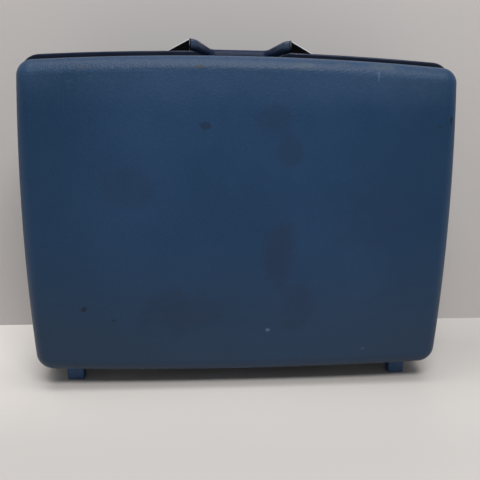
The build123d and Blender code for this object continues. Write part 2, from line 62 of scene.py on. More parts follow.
# %% Shader helpers
class Wire:
    """One shader socket that takes part in sums."""

    def __init__(self, finish, socket):
        self.finish = finish
        self.socket = socket

    def math(self, operation, *others):
        return self.finish.node("Math", {"operation": operation}, dict(enumerate((self, *others))))

    def __add__(self, other):
        return self.math("ADD", other)

    __radd__ = __add__

    def __sub__(self, other):
        return self.math("SUBTRACT", other)

    def __rsub__(self, other):
        return (self * -1.0) + other

    def __mul__(self, other):
        return self.math("MULTIPLY", other)

    __rmul__ = __mul__

    def __truediv__(self, other):
        return self.math("DIVIDE", other)

    def __pow__(self, other):
        return self.math("POWER", other)

    def __abs__(self):
        return self.math("ABSOLUTE")

    def larger(self, other):
        return self.math("MAXIMUM", other)

    def smaller(self, other):
        return self.math("MINIMUM", other)


class Finish:
    """A material whose nodes are added by name, settings and socket values."""

    def __init__(self, name):
        self.material = bpy.data.materials.new(name)
        self.material.use_nodes = True
        self.tree = self.material.node_tree
        self.tree.nodes.clear()

    def node(self, kind, settings=None, values=None, out=0):
        """Adds a node: its settings first, then the values or links of its sockets."""
        made = self.tree.nodes.new("ShaderNode" + kind)
        for key, value in (settings or {}).items():
            setattr(made, key, value)
        for key, value in (values or {}).items():
            if isinstance(value, Wire):
                self.tree.links.new(value.socket, made.inputs[key])
            else:
                made.inputs[key].default_value = value
        return Wire(self, made.outputs[out])

    def place(self):
        """The place on the case, in metres."""
        return self.node("TexCoord", out="Object")

    def axes(self):
        split = self.node("SeparateXYZ", values={0: self.place()})
        outputs = split.socket.node.outputs
        return [Wire(self, outputs[index]) for index in range(3)]

    def scaled(self, x, y, z):
        """The place with its axes scaled. A pattern on it is drawn out along a scale under 1."""
        return self.node("Mapping", values={"Vector": self.place(), "Scale": (x, y, z)})

    def noise(self, scale, detail=4.0, rough=0.55, at=None):
        values = {"Vector": at or self.place(), "Scale": scale, "Detail": detail, "Roughness": rough}
        return self.node("TexNoise", values=values)

    def cells(self, scale, feature="F1"):
        values = {"Vector": self.place(), "Scale": scale}
        return self.node("TexVoronoi", {"feature": feature}, values, out="Distance")

    def span(self, value, low, high, to_low=0.0, to_high=1.0):
        """Turns a stretch of values into another one, with soft ends."""
        values = {"Value": value, 1: low, 2: high, 3: to_low, 4: to_high}
        return self.node("MapRange", {"interpolation_type": "SMOOTHSTEP"}, values)

    def blend(self, share, first, second):
        """The first colour at a share of 0, the second at 1."""
        return self.node("Mix", {"data_type": "RGBA"}, {0: share, 6: first, 7: second}, out=2)

    def bump(self, height, distance, strength=1.0, below=None):
        """A relief of a height times a distance, on top of another relief if one is given."""
        values = {"Height": height, "Distance": distance, "Strength": strength}
        if below is not None:
            values["Normal"] = below
        return self.node("Bump", values=values)

    def surface(self, **sockets):
        names = {key.replace("_", " "): value for key, value in sockets.items()}
        shader = self.node("BsdfPrincipled", values=names)
        output = self.tree.nodes.new("ShaderNodeOutputMaterial")
        self.tree.links.new(shader.socket, output.inputs["Surface"])
        return self.material


def shade(red, green, blue):
    """A colour as it looks on a screen, 0 to 255, as the light values that shaders use."""
    def linear(value):
        value /= 255
        return value / 12.92 if value <= 0.04045 else ((value + 0.055) / 1.055) ** 2.4
    return (linear(red), linear(green), linear(blue), 1.0)


print("mid grey as light:", round(shade(128, 128, 128)[0], 3))

# %% [markdown]
# The camera comes before the pieces, because it settles what shows. A photograph's view is four
# things: where the lens is, how it is turned, how long it is, and how far the picture was cropped
# off its middle. Three unit vectors give the turn: forward, right and up. The roll mixes the last
# two. The crop becomes a small sideways shift of the sensor.

# %% Camera
picture_size = 480
focal_pixels = 658.5
middle_pixel = 269.4
sensor_width = 36.0
lens_place = Vector((-0.0482, -0.9712, 0.4549))
lens_yaw = math.radians(5.579)
lens_pitch = math.radians(14.591)
lens_roll = math.radians(1.194)

forward = Vector((
    math.sin(lens_yaw) * math.cos(lens_pitch),
    math.cos(lens_yaw) * math.cos(lens_pitch),
    -math.sin(lens_pitch),
))
level_right = Vector((math.cos(lens_yaw), -math.sin(lens_yaw), 0))
level_up = level_right.cross(forward)
lens_right = math.cos(lens_roll) * level_right + math.sin(lens_roll) * level_up
lens_up = math.cos(lens_roll) * level_up - math.sin(lens_roll) * level_right
turn = Matrix((lens_right, lens_up, -forward)).transposed()

camera = bpy.data.objects.new("camera", bpy.data.cameras.new("camera"))
camera.matrix_world = Matrix.Translation(lens_place) @ turn.to_4x4()
camera.data.sensor_width = sensor_width
camera.data.lens = focal_pixels / picture_size * sensor_width
camera.data.shift_x = (picture_size / 2 - middle_pixel) / picture_size
camera.data.clip_start = 0.01
bpy.context.scene.collection.objects.link(camera)
bpy.context.scene.camera = camera
print("lens length:", round(camera.data.lens, 2))

# %% [markdown]
# The stage is a pale floor and a grey wall a hand's width behind the case. Both are single sheets
# that show only from their front, so the case can be looked at from behind and from below too.
# The floor is painted paler towards the wall and a little duller again at the right, a painted
# falloff of the light on it. The wall is scenery alone: it shows to the camera and in reflections,
# and the light from behind passes it.

# %% Stage
wall_y = 0.172
stage_reach = 4.0
fade_back = (-0.30, 0.10)
fade_right = (-0.10, 0.45)
fade_drift = 0.06


def flat_sheet(name, turn, place, material):
    """A single square face of the stage, turned and set in its place."""
    shape = bmesh.new()
    bmesh.ops.create_grid(shape, x_segments=1, y_segments=1, size=stage_reach)
    bmesh.ops.transform(shape, matrix=Matrix.Translation(place) @ turn, verts=shape.verts)
    mesh = bpy.data.meshes.new(name)
    shape.to_mesh(mesh)
    shape.free()
    mesh.materials.append(material)
    sheet = bpy.data.objects.new(name, mesh)
    bpy.context.scene.collection.objects.link(sheet)


def stage_finish(name, near, far, side, rays):
    """A matt sheet, with a painted falloff of light from near to far and to one side, that shows
    only from its front, and only to the named rays.
    """
    finish = Finish(name)
    x, y, _ = finish.axes()
    cloud = finish.noise(2.5, detail=5.0) - 0.5
    # Painted falloff of light: darker near the front and at the right, paler towards the wall.
    share = finish.span(y + cloud * fade_drift, *fade_back)
    colour = finish.blend(share, near, far)
    colour = finish.blend(share * finish.span(x, *fade_right), colour, side)
    matt = finish.node("BsdfDiffuse", values={"Color": colour})
    clear = finish.node("BsdfTransparent")
    showing = 1.0 - finish.node("NewGeometry", out="Backfacing")
    if rays:
        asked = [finish.node("LightPath", out=ray) for ray in rays]
        showing = showing * asked[0].larger(asked[1]).larger(asked[2])
    mixed = finish.node("MixShader", values={0: showing, 1: clear, 2: matt})
    output = finish.tree.nodes.new("ShaderNodeOutputMaterial")
    finish.tree.links.new(mixed.socket, output.inputs["Surface"])
    return finish.material


scenery_rays = ("Is Camera Ray", "Is Glossy Ray", "Is Transmission Ray")
floor_near_shaded = shade(188, 184, 180)
floor_far_lit = shade(217, 212, 207)
floor_side_shaded = shade(186, 182, 178)
wall_grey = shade(186, 182, 180)
floor_matt = stage_finish("pale_floor", floor_near_shaded, floor_far_lit, floor_side_shaded, ())
wall_matt = stage_finish("grey_wall", wall_grey, wall_grey, wall_grey, scenery_rays)
upright = Matrix.Rotation(math.radians(90), 4, "X")
flat_sheet("floor", Matrix(), (0, 0, 0), floor_matt)
flat_sheet("wall", upright, (0, wall_y, stage_reach), wall_matt)
print("floor and wall made, the wall at y", wall_y)

# %% [markdown]
# The light is a plain soft studio light. A large lamp gives soft shadows, so each one is an area
# lamp: one above, one in front, and a weak one behind that shapes the hidden sides. The world is
# a pale grey that fills the shadows. With the Standard view, a colour looks about as it is
# written.

# %% Light
world_grey = shade(232, 233, 236)
world_strength = 0.36


def area_lamp(name, place, target, width, depth, watts):
    """A rectangular lamp at a place, turned to face its target."""
    lamp = bpy.data.lights.new(name, "AREA")
    lamp.shape = "RECTANGLE"
    lamp.size = width
    lamp.size_y = depth
    lamp.energy = watts
    holder = bpy.data.objects.new(name, lamp)
    holder.location = place
    aim = Vector(target) - Vector(place)
    holder.rotation_euler = aim.to_track_quat("-Z", "Y").to_euler()
    bpy.context.scene.collection.objects.link(holder)


area_lamp("ceiling_lamp", (-0.1, -0.35, 2.4), (0, -0.1, 0), 2.6, 1.0, 36)
area_lamp("key_lamp", (0.12, -1.75, 2.30), (0, 0, 0.1), 1.3, 0.6, 46)
area_lamp("back_lamp", (0.5, 2.3, 1.9), (0, 0, 0.2), 2.2, 1.2, 16)

world = bpy.data.worlds.new("room")
world.use_nodes = True
world.node_tree.nodes["Background"].inputs["Color"].default_value = world_grey
world.node_tree.nodes["Background"].inputs["Strength"].default_value = world_strength
bpy.context.scene.world = world
bpy.context.scene.view_settings.view_transform = "Standard"
print("world strength:", world_strength)

# %% [markdown]
# A used case has marks: scuffs on the rolled edge, pale nicks, dark specks and wide dull smudges.
# A picture could hold them, but a pattern stays sharp at any size. So each mark is an oval with a
# ragged edge, and each kind of mark is a list. A row gives the middle on the front face, the reach
# along X and Z, and how strongly the mark covers the plastic.

# %% Marks on the front face
mark_soft_edge = 0.45


def oval(finish, x, z, centre_x, centre_z, reach_x, reach_z, ragged):
    """1 in the middle of an oval patch, falling to 0 at its ragged edge."""
    across = (x - centre_x) / reach_x
    along = (z - centre_z) / reach_z
    away = (across * across + along * along) ** 0.5
    return finish.span(away + ragged, 1.0, mark_soft_edge, 0.0, 1.0)


def front_marks(finish, x, z, marks, ragged):
    """Every mark of one kind on the front face, as one mask."""
    total = None
    for centre_x, centre_z, reach_x, reach_z, share in marks:
        patch = oval(finish, x, z, centre_x, centre_z, reach_x, reach_z, ragged) * share
        total = patch if total is None else total.larger(patch)
    return total


brown_scuffs = [
    (-0.0585, 0.4555, 0.008, 0.0030, 0.70),
    (-0.205, 0.452, 0.016, 0.004, 0.20),
]
yellow_scuffs = [
    (0.0784, 0.4600, 0.018, 0.005, 0.12),
    (0.1843, 0.4600, 0.024, 0.005, 0.18),
    (0.130, 0.4620, 0.012, 0.003, 0.10),
]
pale_scuffs = [
    (0.1784, 0.4478, 0.0018, 0.008, 0.5),
    (0.0372, 0.0922, 0.0042, 0.0038, 0.75),
    (0.1776, 0.0599, 0.0055, 0.0024, 0.28),
]
dark_specks = [
    (-0.2187, 0.1263, 0.0055, 0.0050, 0.85),
    (-0.1786, 0.1095, 0.0028, 0.0030, 0.80),
    (-0.0498, 0.3812, 0.010, 0.008, 0.42),
    (0.2838, 0.3920, 0.0030, 0.0070, 0.80),
    (0.2680, 0.3830, 0.0050, 0.0040, 0.35),
]
dark_smudges = [
    (0.0518, 0.2050, 0.030, 0.058, 0.42),
    (0.0800, 0.1280, 0.032, 0.045, 0.26),
    (0.0408, 0.3902, 0.034, 0.026, 0.26),
    (0.0619, 0.3496, 0.024, 0.030, 0.26),
    (-0.085, 0.1200, 0.070, 0.040, 0.30),
    (-0.150, 0.3000, 0.050, 0.040, 0.20),
    (0.180, 0.2500, 0.055, 0.070, 0.16),
]
kinds = (brown_scuffs, yellow_scuffs, pale_scuffs, dark_specks, dark_smudges)
print("marks on the front face:", sum(len(marks) for marks in kinds))

# %% [markdown]
# The shells are moulded plastic with a fine leather grain. The grain is three sizes of relief:
# pebbles two millimetres wide, creases between them, and a slow waviness that moulded sheet
# always has. The plastic's own colour hardly changes, so the age of the case comes from what lies
# on it: rubbed places and the marks. The face is also darker and greyer low down. Light is painted
# on as well: a painted highlight under the rolled edge and along the side edges, and painted shade
# towards the sides, on the rolled edge and in the creases of the grain. Each one is a mask from 0
# to 1, and the colours are laid over each other one by one, as paint would be.

# %% Shell finish
shell_blue = shade(30, 60, 94)
shell_deep = shade(21, 53, 84)
shell_painted_shade = shade(14, 44, 70)
shell_low_grey = shade(36, 50, 66)
shell_bloom_and_highlight = shade(62, 83, 108)
shell_rub = shade(84, 102, 124)
smudge_colour = shade(30, 40, 62)
brown_colour = shade(58, 56, 60)
speck_colour = shade(16, 24, 32)
yellow_colour = shade(92, 98, 92)

grain_scale = 470.0
grain_depth = 0.00048
crease_scale = 230.0
wave_depth = 0.0035


def moulded_grain(finish):
    """The pebbles, the creases between them and the slow waviness, as a normal."""
    pebbles = finish.cells(grain_scale, feature="SMOOTH_F1")
    warped = finish.noise(crease_scale, detail=3.0, rough=0.6)
    creases = abs(warped - 0.5) * 2.0
    slow = finish.noise(9.0, detail=1.0)
    fine = finish.bump(pebbles * 0.6 + creases * 0.8, grain_depth)
    return finish.bump(slow, wave_depth, strength=0.5, below=fine), pebbles, creases


def shell_finish():
    finish = Finish("moulded_shell")
    x, y, z = finish.axes()
    normal, pebbles, creases = moulded_grain(finish)
    cloud = finish.noise(5.0, detail=5.0, rough=0.6)
    fleck = finish.noise(150.0, detail=3.0, rough=0.7)
    ragged = (finish.noise(130.0, detail=4.0, rough=0.7) - 0.5) * 1.3
    broad_ragged = (finish.noise(34.0, detail=5.0, rough=0.65) - 0.5) * 1.6
    front = finish.span(y, -0.060, -0.075)

    colour = finish.blend(finish.span(cloud, 0.30, 0.70), shell_deep, shell_blue)
    colour = finish.blend(finish.span(fleck, 0.50, 0.85) * 0.10, colour, shell_bloom_and_highlight)
    # Painted shade in the creases of the grain.
    colour = finish.blend(finish.span(creases, 0.35, 0.0) * 0.20, colour, shell_deep)
    # Painted shade towards the left and right sides, weaker on the rolled edge.
    off_roll = finish.span(z, 0.462, 0.448, 0.3, 1.0)
    colour = finish.blend(finish.span(abs(x), 0.10, 0.28) * off_roll * 0.45, colour, shell_painted_shade)
    # Painted highlight along the outer side edges.
    colour = finish.blend(finish.span(abs(x), 0.278, 0.292) * 0.30, colour, shell_bloom_and_highlight)
    # Darker and greyer towards the bottom.
    colour = finish.blend(finish.span(z, 0.24, 0.04) * 0.60, colour, shell_low_grey)
    # Painted highlight on the face just under the rolled edge, mottled by the cloud.
    under_roll_highlight = finish.span(z, 0.395, 0.446) * (1.0 - finish.span(z, 0.448, 0.458))
    colour = finish.blend(under_roll_highlight * finish.span(cloud, 0.10, 0.75) * 0.30, colour, shell_bloom_and_highlight)
    # Painted shade on the rolled top edge.
    colour = finish.blend(finish.span(z, 0.447, 0.459) * 0.55, colour, shell_painted_shade)
    # Pale flecks on the pebble tops, more of them towards the top.
    flecks = finish.span(pebbles, 0.45, 0.20) * finish.span(fleck, 0.46, 0.66)
    colour = finish.blend(flecks * finish.span(z, 0.38, 0.455) * 0.20, colour, shell_rub)
    smudge = front_marks(finish, x, z, dark_smudges, broad_ragged) * front
    colour = finish.blend(smudge, colour, smudge_colour)
    yellow = front_marks(finish, x, z, yellow_scuffs, ragged) * front
    colour = finish.blend(yellow, colour, yellow_colour)
    brown = front_marks(finish, x, z, brown_scuffs, ragged) * front
    colour = finish.blend(brown, colour, brown_colour)
    specks = front_marks(finish, x, z, dark_specks, ragged) * front
    colour = finish.blend(specks, colour, speck_colour)
    pale = front_marks(finish, x, z, pale_scuffs, ragged) * front
    colour = finish.blend(pale, colour, shell_rub)

    streaks = finish.noise(60.0, detail=3.0, rough=0.75, at=finish.scaled(1.0, 1.0, 9.0))
    rub_zone = finish.span(abs(y), 0.074, 0.090) * (1.0 - finish.span(abs(y), 0.0905, 0.0945))
    rub = rub_zone * finish.span(streaks, 0.60, 0.80) * finish.span(ragged, 0.05, 0.35)
    colour = finish.blend(rub * 0.5, colour, shell_rub)

    rough = finish.span(cloud, 0.3, 0.7, 0.36, 0.44) + pebbles * 0.06 - smudge * 0.08 + brown * 0.2
    return finish.surface(
        Base_Color=colour, Roughness=rough, Normal=normal, Specular_IOR_Level=0.24,
    )


finishes = {"shell": shell_finish()}
print("nodes in the shell's finish:", len(finishes["shell"].node_tree.nodes))

# %% [markdown]
# The closure frames and the feet come from other moulds of the same plastic. Their grain is finer
# and flatter, and a case is gripped and set down on them, so the frames carry fine scratches that
# run along them, and the feet are scuffed underneath. The frame is painted darker along the foot
# of its ridge, as painted shade in the gap beneath it. The blocks beside the handle are black
# plastic, painted a near black that also stands for the shade inside the brackets.

# %% Frame, foot and bracket finishes
frame_blue = shade(15, 29, 53)
frame_deep = shade(10, 21, 41)
frame_groove_shade = shade(7, 13, 27)
frame_rub = shade(88, 104, 126)
foot_blue = shade(32, 76, 120)
foot_deep = shade(24, 62, 102)
shaded_block_black = shade(1, 1, 2)
shaded_block_grey = shade(4, 4, 6)
ridge_foot_z = 0.4700
ridge_fall = 0.011 / 0.2905**2


def frame_finish():
    finish = Finish("moulded_frame")
    along = finish.noise(40.0, detail=4.0, rough=0.7, at=finish.scaled(0.6, 14.0, 1.0))
    cloud = finish.noise(14.0, detail=4.0)
    nick = finish.noise(170.0, detail=3.0, rough=0.8)
    grain = finish.cells(900.0, feature="SMOOTH_F1")
    x, _, z = finish.axes()
    rise = z - (ridge_foot_z - ridge_fall * x * x)
    # Painted shade along the foot of the ridge.
    groove_shade = finish.span(rise, 0.0052, 0.0030) * finish.span(z, 0.40, 0.45)
    colour = finish.blend(finish.span(cloud, 0.3, 0.7), frame_deep, frame_blue)
    colour = finish.blend(groove_shade * 0.8, colour, frame_groove_shade)
    colour = finish.blend(finish.span(along, 0.62, 0.80) * 0.35, colour, frame_rub)
    colour = finish.blend(finish.span(nick, 0.68, 0.80) * 0.30, colour, frame_rub)
    rough = finish.span(along, 0.35, 0.75, 0.34, 0.50)
    normal = finish.bump(grain + along * 0.6, 0.00016)
    return finish.surface(
        Base_Color=colour, Roughness=rough, Normal=normal, Specular_IOR_Level=0.25,
    )


def foot_finish():
    finish = Finish("moulded_foot")
    _, _, z = finish.axes()
    cloud = finish.noise(60.0, detail=5.0, rough=0.65)
    grain = finish.cells(800.0, feature="SMOOTH_F1")
    scuff = finish.span(z, 0.010, 0.0) * finish.span(cloud, 0.42, 0.62)
    colour = finish.blend(finish.span(cloud, 0.3, 0.7), foot_blue, foot_deep)
    colour = finish.blend(scuff * 0.6, colour, frame_rub)
    rough = finish.span(cloud, 0.3, 0.7, 0.40, 0.56) + scuff * 0.15
    normal = finish.bump(grain + cloud * 0.8, 0.0002)
    return finish.surface(Base_Color=colour, Roughness=rough, Normal=normal)


def bracket_finish():
    finish = Finish("moulded_black_block")
    grain = finish.noise(420.0, detail=4.0, rough=0.7)
    cloud = finish.noise(70.0, detail=4.0)
    # Near black: black plastic painted darker still, as painted shade inside the bracket.
    colour = finish.blend(finish.span(cloud, 0.35, 0.7), shaded_block_black, shaded_block_grey)
    rough = finish.span(cloud, 0.3, 0.7, 0.50, 0.66)
    normal = finish.bump(grain, 0.0002)
    return finish.surface(
        Base_Color=colour, Roughness=rough, Normal=normal, Specular_IOR_Level=0.05,
    )


finishes["frame"] = frame_finish()
finishes["foot"] = foot_finish()
finishes["bracket"] = bracket_finish()
print("finishes so far:", list(finishes))

# %% [markdown]
# The grip is the glossiest plastic on the case, polished by hands. It was moulded in two halves,
# and the flash line between them still shows round its outside. A line that follows one plane is
# easy: the plane's distance makes a thin ridge in the bump. The arms are painted paler than the
# bar, a painted highlight where they catch more light, and they have a thin clear coat.

# %% Grip finish
pivot_y = 0.0103
pivot_z = 0.4850
grip_tilt = math.asin(13.4 / 40)
flash_half = 0.00045
grip_blue = shade(27, 40, 64)
grip_deep = shade(19, 29, 50)
grip_worn = shade(96, 108, 128)
arm_painted_highlight = shade(48, 60, 80)


def grip_finish():
    finish = Finish("glossy_grip")
    x, y, z = finish.axes()
    off_plane = (z - pivot_z) * math.cos(grip_tilt) + (y - pivot_y) * math.sin(grip_tilt)
    flash = finish.span(abs(off_plane), flash_half, 0.0)
    cloud = finish.noise(45.0, detail=4.0, rough=0.6)
    hair = finish.noise(900.0, detail=2.0, at=finish.scaled(0.12, 1.0, 1.0))
    colour = finish.blend(finish.span(cloud, 0.3, 0.7), grip_deep, grip_blue)
    # Painted highlight: the arms are painted paler, as they catch more light than the bar.
    on_arm = finish.span(abs(x), 0.046, 0.060)
    colour = finish.blend(on_arm * 0.8, colour, arm_painted_highlight)
    worn = finish.span(hair, 0.66, 0.80) * finish.span(cloud, 0.45, 0.7)
    colour = finish.blend(worn * 0.4, colour, grip_worn)
    rough = finish.span(cloud, 0.35, 0.7, 0.24, 0.38) + worn * 0.2
    normal = finish.bump(flash * 0.8 + hair * 0.10, 0.00025)
    return finish.surface(
        Base_Color=colour, Roughness=rough, Normal=normal, Specular_IOR_Level=0.07,
        Coat_Weight=on_arm * finish.span(cloud, 0.2, 0.8, 0.50, 0.35), Coat_Roughness=0.12,
    )


finishes["handle"] = grip_finish()
print("grip tilted by", round(math.degrees(grip_tilt), 1), "degrees")

# %% [markdown]
# Six metal finishes are on the case: the bright plating of the ramp plates, the dull plating of
# the latches, zinc-plated steel, spring steel, the brass of the locks and the worn plates on the
# grip. Each has a bright and a tarnished colour, a smooth and a coarse roughness, and brush lines
# that run one way, and some have brown spots. One function makes them all, and the numbers tell
# them apart. The latches' plating, dulled by a milky layer, is set as less than full metal. The
# ramp plates are set as less than full metal too, under a near-white colour: a painted reflection
# that stands for their chrome's bright shine.

# %% Metal finishes
along_x = (0.1, 1, 1)
along_y = (1, 0.08, 1)
along_z = (1, 1, 0.1)
down_the_ramp = (0.1, 1, 0.1)
spot_brown = shade(92, 78, 66)


def metal_finish(name, bright, dull, smooth, coarse, run, depth, spots=0.0, metal=1.0):
    """A metal with brush lines of a depth along a run, brown spots, and a share of full metal."""
    finish = Finish(name)
    brushed = finish.noise(700.0, detail=3.0, rough=0.7, at=finish.scaled(*run))
    cloud = finish.noise(85.0, detail=5.0, rough=0.65)
    scratch = finish.noise(240.0, detail=2.0, rough=0.9, at=finish.scaled(1.0, 0.08, 0.6))
    tarnish = finish.span(cloud, 0.48, 0.70)
    colour = finish.blend(tarnish, bright, dull)
    if spots:
        pits = finish.span(finish.cells(500.0), 0.16, 0.05) * finish.span(cloud, 0.50, 0.62)
        colour = finish.blend(pits * spots, colour, spot_brown)
    rough = finish.span(brushed, 0.3, 0.7, smooth, coarse) + finish.span(scratch, 0.66, 0.78) * 0.08
    normal = finish.bump(brushed + scratch * 0.3, depth)
    return finish.surface(Base_Color=colour, Metallic=metal, Roughness=rough, Normal=normal)


# The ramp plates' near-white colour is a painted reflection of the bright room on chrome.
finishes["bracket_cover"] = metal_finish(
    "plated_cover_painted_shine", shade(228, 229, 231), shade(206, 208, 211), 0.28, 0.40,
    down_the_ramp, 0.00002, metal=0.35,
)
finishes["latch"] = metal_finish(
    "plated_latch", shade(128, 130, 134), shade(102, 105, 110), 0.50, 0.62,
    along_y, 0.00002, spots=0.35, metal=0.5,
)
finishes["steel"] = metal_finish(
    "zinc_plated_steel", shade(188, 190, 192), shade(146, 148, 150), 0.28, 0.44,
    along_x, 0.00005, spots=0.4,
)
finishes["spring"] = metal_finish(
    "spring_steel", shade(128, 132, 140), shade(96, 100, 110), 0.26, 0.40,
    along_y, 0.00004, spots=0.2,
)
finishes["lock"] = metal_finish(
    "lock_brass", shade(206, 178, 112), shade(150, 122, 74), 0.20, 0.36,
    along_z, 0.00004, spots=0.3,
)
cap_metal = metal_finish(
    "worn_cap", shade(74, 78, 84), shade(52, 56, 63), 0.50, 0.62,
    along_z, 0.00004, spots=0.3,
)
print("finishes so far:", list(finishes))

# %% [markdown]
# Two small mouldings are left: the black release buttons and the dark blue buckles of the straps.
# Both are smooth, so only a thin dust and a fine grain break their gloss.

# %% Button and buckle finishes
button_black = shade(24, 25, 28)
button_grey = shade(40, 42, 46)
buckle_deep = shade(36, 50, 76)
buckle_blue = shade(46, 63, 92)


def button_finish():
    finish = Finish("black_button")
    cloud = finish.noise(160.0, detail=4.0)
    dust = finish.noise(520.0, detail=3.0, rough=0.7)
    colour = finish.blend(finish.span(cloud, 0.35, 0.7), button_black, button_grey)
    rough = finish.span(dust, 0.3, 0.7, 0.22, 0.38)
    return finish.surface(Base_Color=colour, Roughness=rough, Normal=finish.bump(dust, 0.00008))


def buckle_finish():
    finish = Finish("moulded_buckle")
    cloud = finish.noise(120.0, detail=4.0)
    grain = finish.noise(800.0, detail=2.0)
    colour = finish.blend(finish.span(cloud, 0.35, 0.7), buckle_deep, buckle_blue)
    rough = finish.span(cloud, 0.3, 0.7, 0.24, 0.38)
    return finish.surface(Base_Color=colour, Roughness=rough, Normal=finish.bump(grain, 0.00006))


finishes["button"] = button_finish()
finishes["buckle"] = buckle_finish()
print("finishes so far:", list(finishes))

# %% [markdown]
# Each node of the model takes the finish of its material slot. The slots are written in the
# record beside the nodes, so one loop dresses the whole case. The plates on the grip's ends share
# a slot with brighter steel, so they get their own worn finish afterwards.

# %% Dress the solid pieces
for entry in frame["record"]["subparts"]:
    finish = finishes.get(entry["material_slot"])
    if finish is not None:
        mesh = nodes[entry["node"]].data
        mesh.materials.clear()
        mesh.materials.append(finish)
for label in ("left", "right"):
    nodes["handle_cap_" + label].data.materials[0] = cap_metal
print("dressed slots:", sorted(finishes))

# %% [markdown]
# Inside, each half is lined with quilted satin over thin foam. The cloth lies in the shell like a
# tray: a flat back panel, a rounded corner, and a band that runs out to the frame. It could be
# sewn from strips, but one grid folds into the whole tray, as paper does. How far a point is from
# the grid's middle says how far along the tray it goes. The case's outline is a rectangle with
# bowed sides, so one function gives the outline's point for each point of a square's edge.

# %% The case outline
mm = 0.001
shell_half_width = 297.5 * mm
shell_top_z = 470.0 * mm
shell_bottom_z = 26.3 * mm
side_bow = 7.0 * mm
top_bow = 11.0 * mm
bottom_bow = 5.0 * mm
top_corner_r = 22.0 * mm
bottom_corner_r = 25.0 * mm
middle_z = (shell_top_z + shell_bottom_z) / 2
half_height = (shell_top_z - shell_bottom_z) / 2
half_depth = 95.0 * mm
roll_r = 20.0 * mm
face_crown = 5.0 * mm
corner_ease = 1.5 * mm


def outline_point(across, up, inset):
    """The outline's point, from its middle, for a point on a square's edge, moved in by `inset`."""
    bow, corner = (top_bow, top_corner_r) if up > 0 else (bottom_bow, bottom_corner_r)
    side_x = shell_half_width - inset - side_bow * up * up
    end_z = half_height - inset - bow * across * across
    round_r = corner - inset + corner_ease
    turn_x = shell_half_width - inset - side_bow - round_r
    turn_z = half_height - inset - bow - round_r
    x = abs(across) * side_x
    z = abs(up) * end_z
    if x > turn_x and z > turn_z:
        squeeze = round_r / math.hypot(x - turn_x, z - turn_z)
        if squeeze < 1:
            x = turn_x + (x - turn_x) * squeeze
            z = turn_z + (z - turn_z) * squeeze
    return math.copysign(x, across), math.copysign(z, up)


def add_piece(name, shape, material, body):
    """Turns a bmesh into a piece of the case that rides on a body."""
    mesh = bpy.data.meshes.new(name)
    shape.to_mesh(mesh)
    shape.free()
    mesh.materials.append(material)
    mesh.shade_smooth()
    piece = bpy.data.objects.new(name, mesh)
    bpy.context.scene.collection.objects.link(piece)
    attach(piece, body)
    return piece


corner_x, corner_z = outline_point(1.0, 1.0, 0.0)
print("top corner of the outline:", round(corner_x, 4), round(corner_z + middle_z, 4))

# %% [markdown]
# Satin is a weave whose threads lie mostly one way, so it shines in streaks. Its finish needs a
# fine line pattern, a sheen, and a colour that drifts a little over the panel, with the stitches
# of the quilting as short dashes along the seams.

# %% Satin finishes
quilt_pitch = 62.0 * mm
stitch_length = 3.2 * mm
satin_blue = shade(104, 132, 168)
satin_deep = shade(78, 104, 142)


def quilt_lines(finish, x, z):
    """The distance from the nearest quilting seam, and the distance run along it."""
    rising = (x + z) / quilt_pitch
    falling = (x - z) / quilt_pitch
    off_rising = abs(rising.math("FRACT") - 0.5)
    off_falling = abs(falling.math("FRACT") - 0.5)
    return off_rising.smaller(off_falling), rising, falling


def satin_finish(name, base, deep, quilted):
    finish = Finish(name)
    x, _, z = finish.axes()
    threads = finish.node("TexWave", {"wave_type": "BANDS", "bands_direction": "DIAGONAL"}, {
        "Vector": finish.place(), "Scale": 900.0, "Distortion": 1.5, "Detail": 1.0,
    })
    cross = finish.noise(1400.0, detail=2.0, rough=0.6)
    cloud = finish.noise(16.0, detail=4.0)
    colour = finish.blend(finish.span(cloud, 0.2, 0.8) * 0.6 + 0.4, deep, base)
    colour = finish.blend(threads * 0.18, colour, deep)
    height = threads * 0.6 + cross * 0.5
    if quilted:
        off_seam, rising, falling = quilt_lines(finish, x, z)
        seam = finish.span(off_seam, 0.020, 0.004)
        dash = finish.span((rising + falling).math("MULTIPLY", quilt_pitch / stitch_length / 2)
                           .math("PINGPONG", 0.5), 0.12, 0.22)
        # The seams are painted darker, as painted shade in the groove each seam draws in; the
        # stitches stay the satin's own colour.
        colour = finish.blend(seam * 0.45, colour, deep)
        colour = finish.blend(seam * dash * 0.45, colour, base)
        height = height - seam * 4.0 + seam * dash * 3.0
    rough = finish.span(threads, 0.2, 0.8, 0.40, 0.56)
    return finish.surface(
        Base_Color=colour, Roughness=rough, Normal=finish.bump(height, 0.00022),
        Sheen_Weight=0.35, Sheen_Roughness=0.4,
    )


quilted_satin = satin_finish("quilted_satin", satin_blue, satin_deep, True)
plain_satin = satin_finish("plain_satin", satin_blue, satin_deep, False)
print("satins made:", quilted_satin.name, plain_satin.name)

# %% [markdown]
# Webbing is coarse yarn woven in ribs, so two wave patterns that cross make its relief. Near each
# end a box with a cross in it is sewn through the strap, in a paler thread. The thread is a thin
# line where the distance to the box's edge or to its diagonals is near zero, cut into stitches.

# %% Webbing finish
box_half_x = 9.0 * mm
box_half_z = 9.0 * mm
box_from_end = 13.0 * mm
webbing_deep = shade(30, 42, 66)
webbing_blue = shade(52, 70, 104)
webbing_fuzz = shade(70, 88, 118)
thread_colour = shade(150, 166, 192)


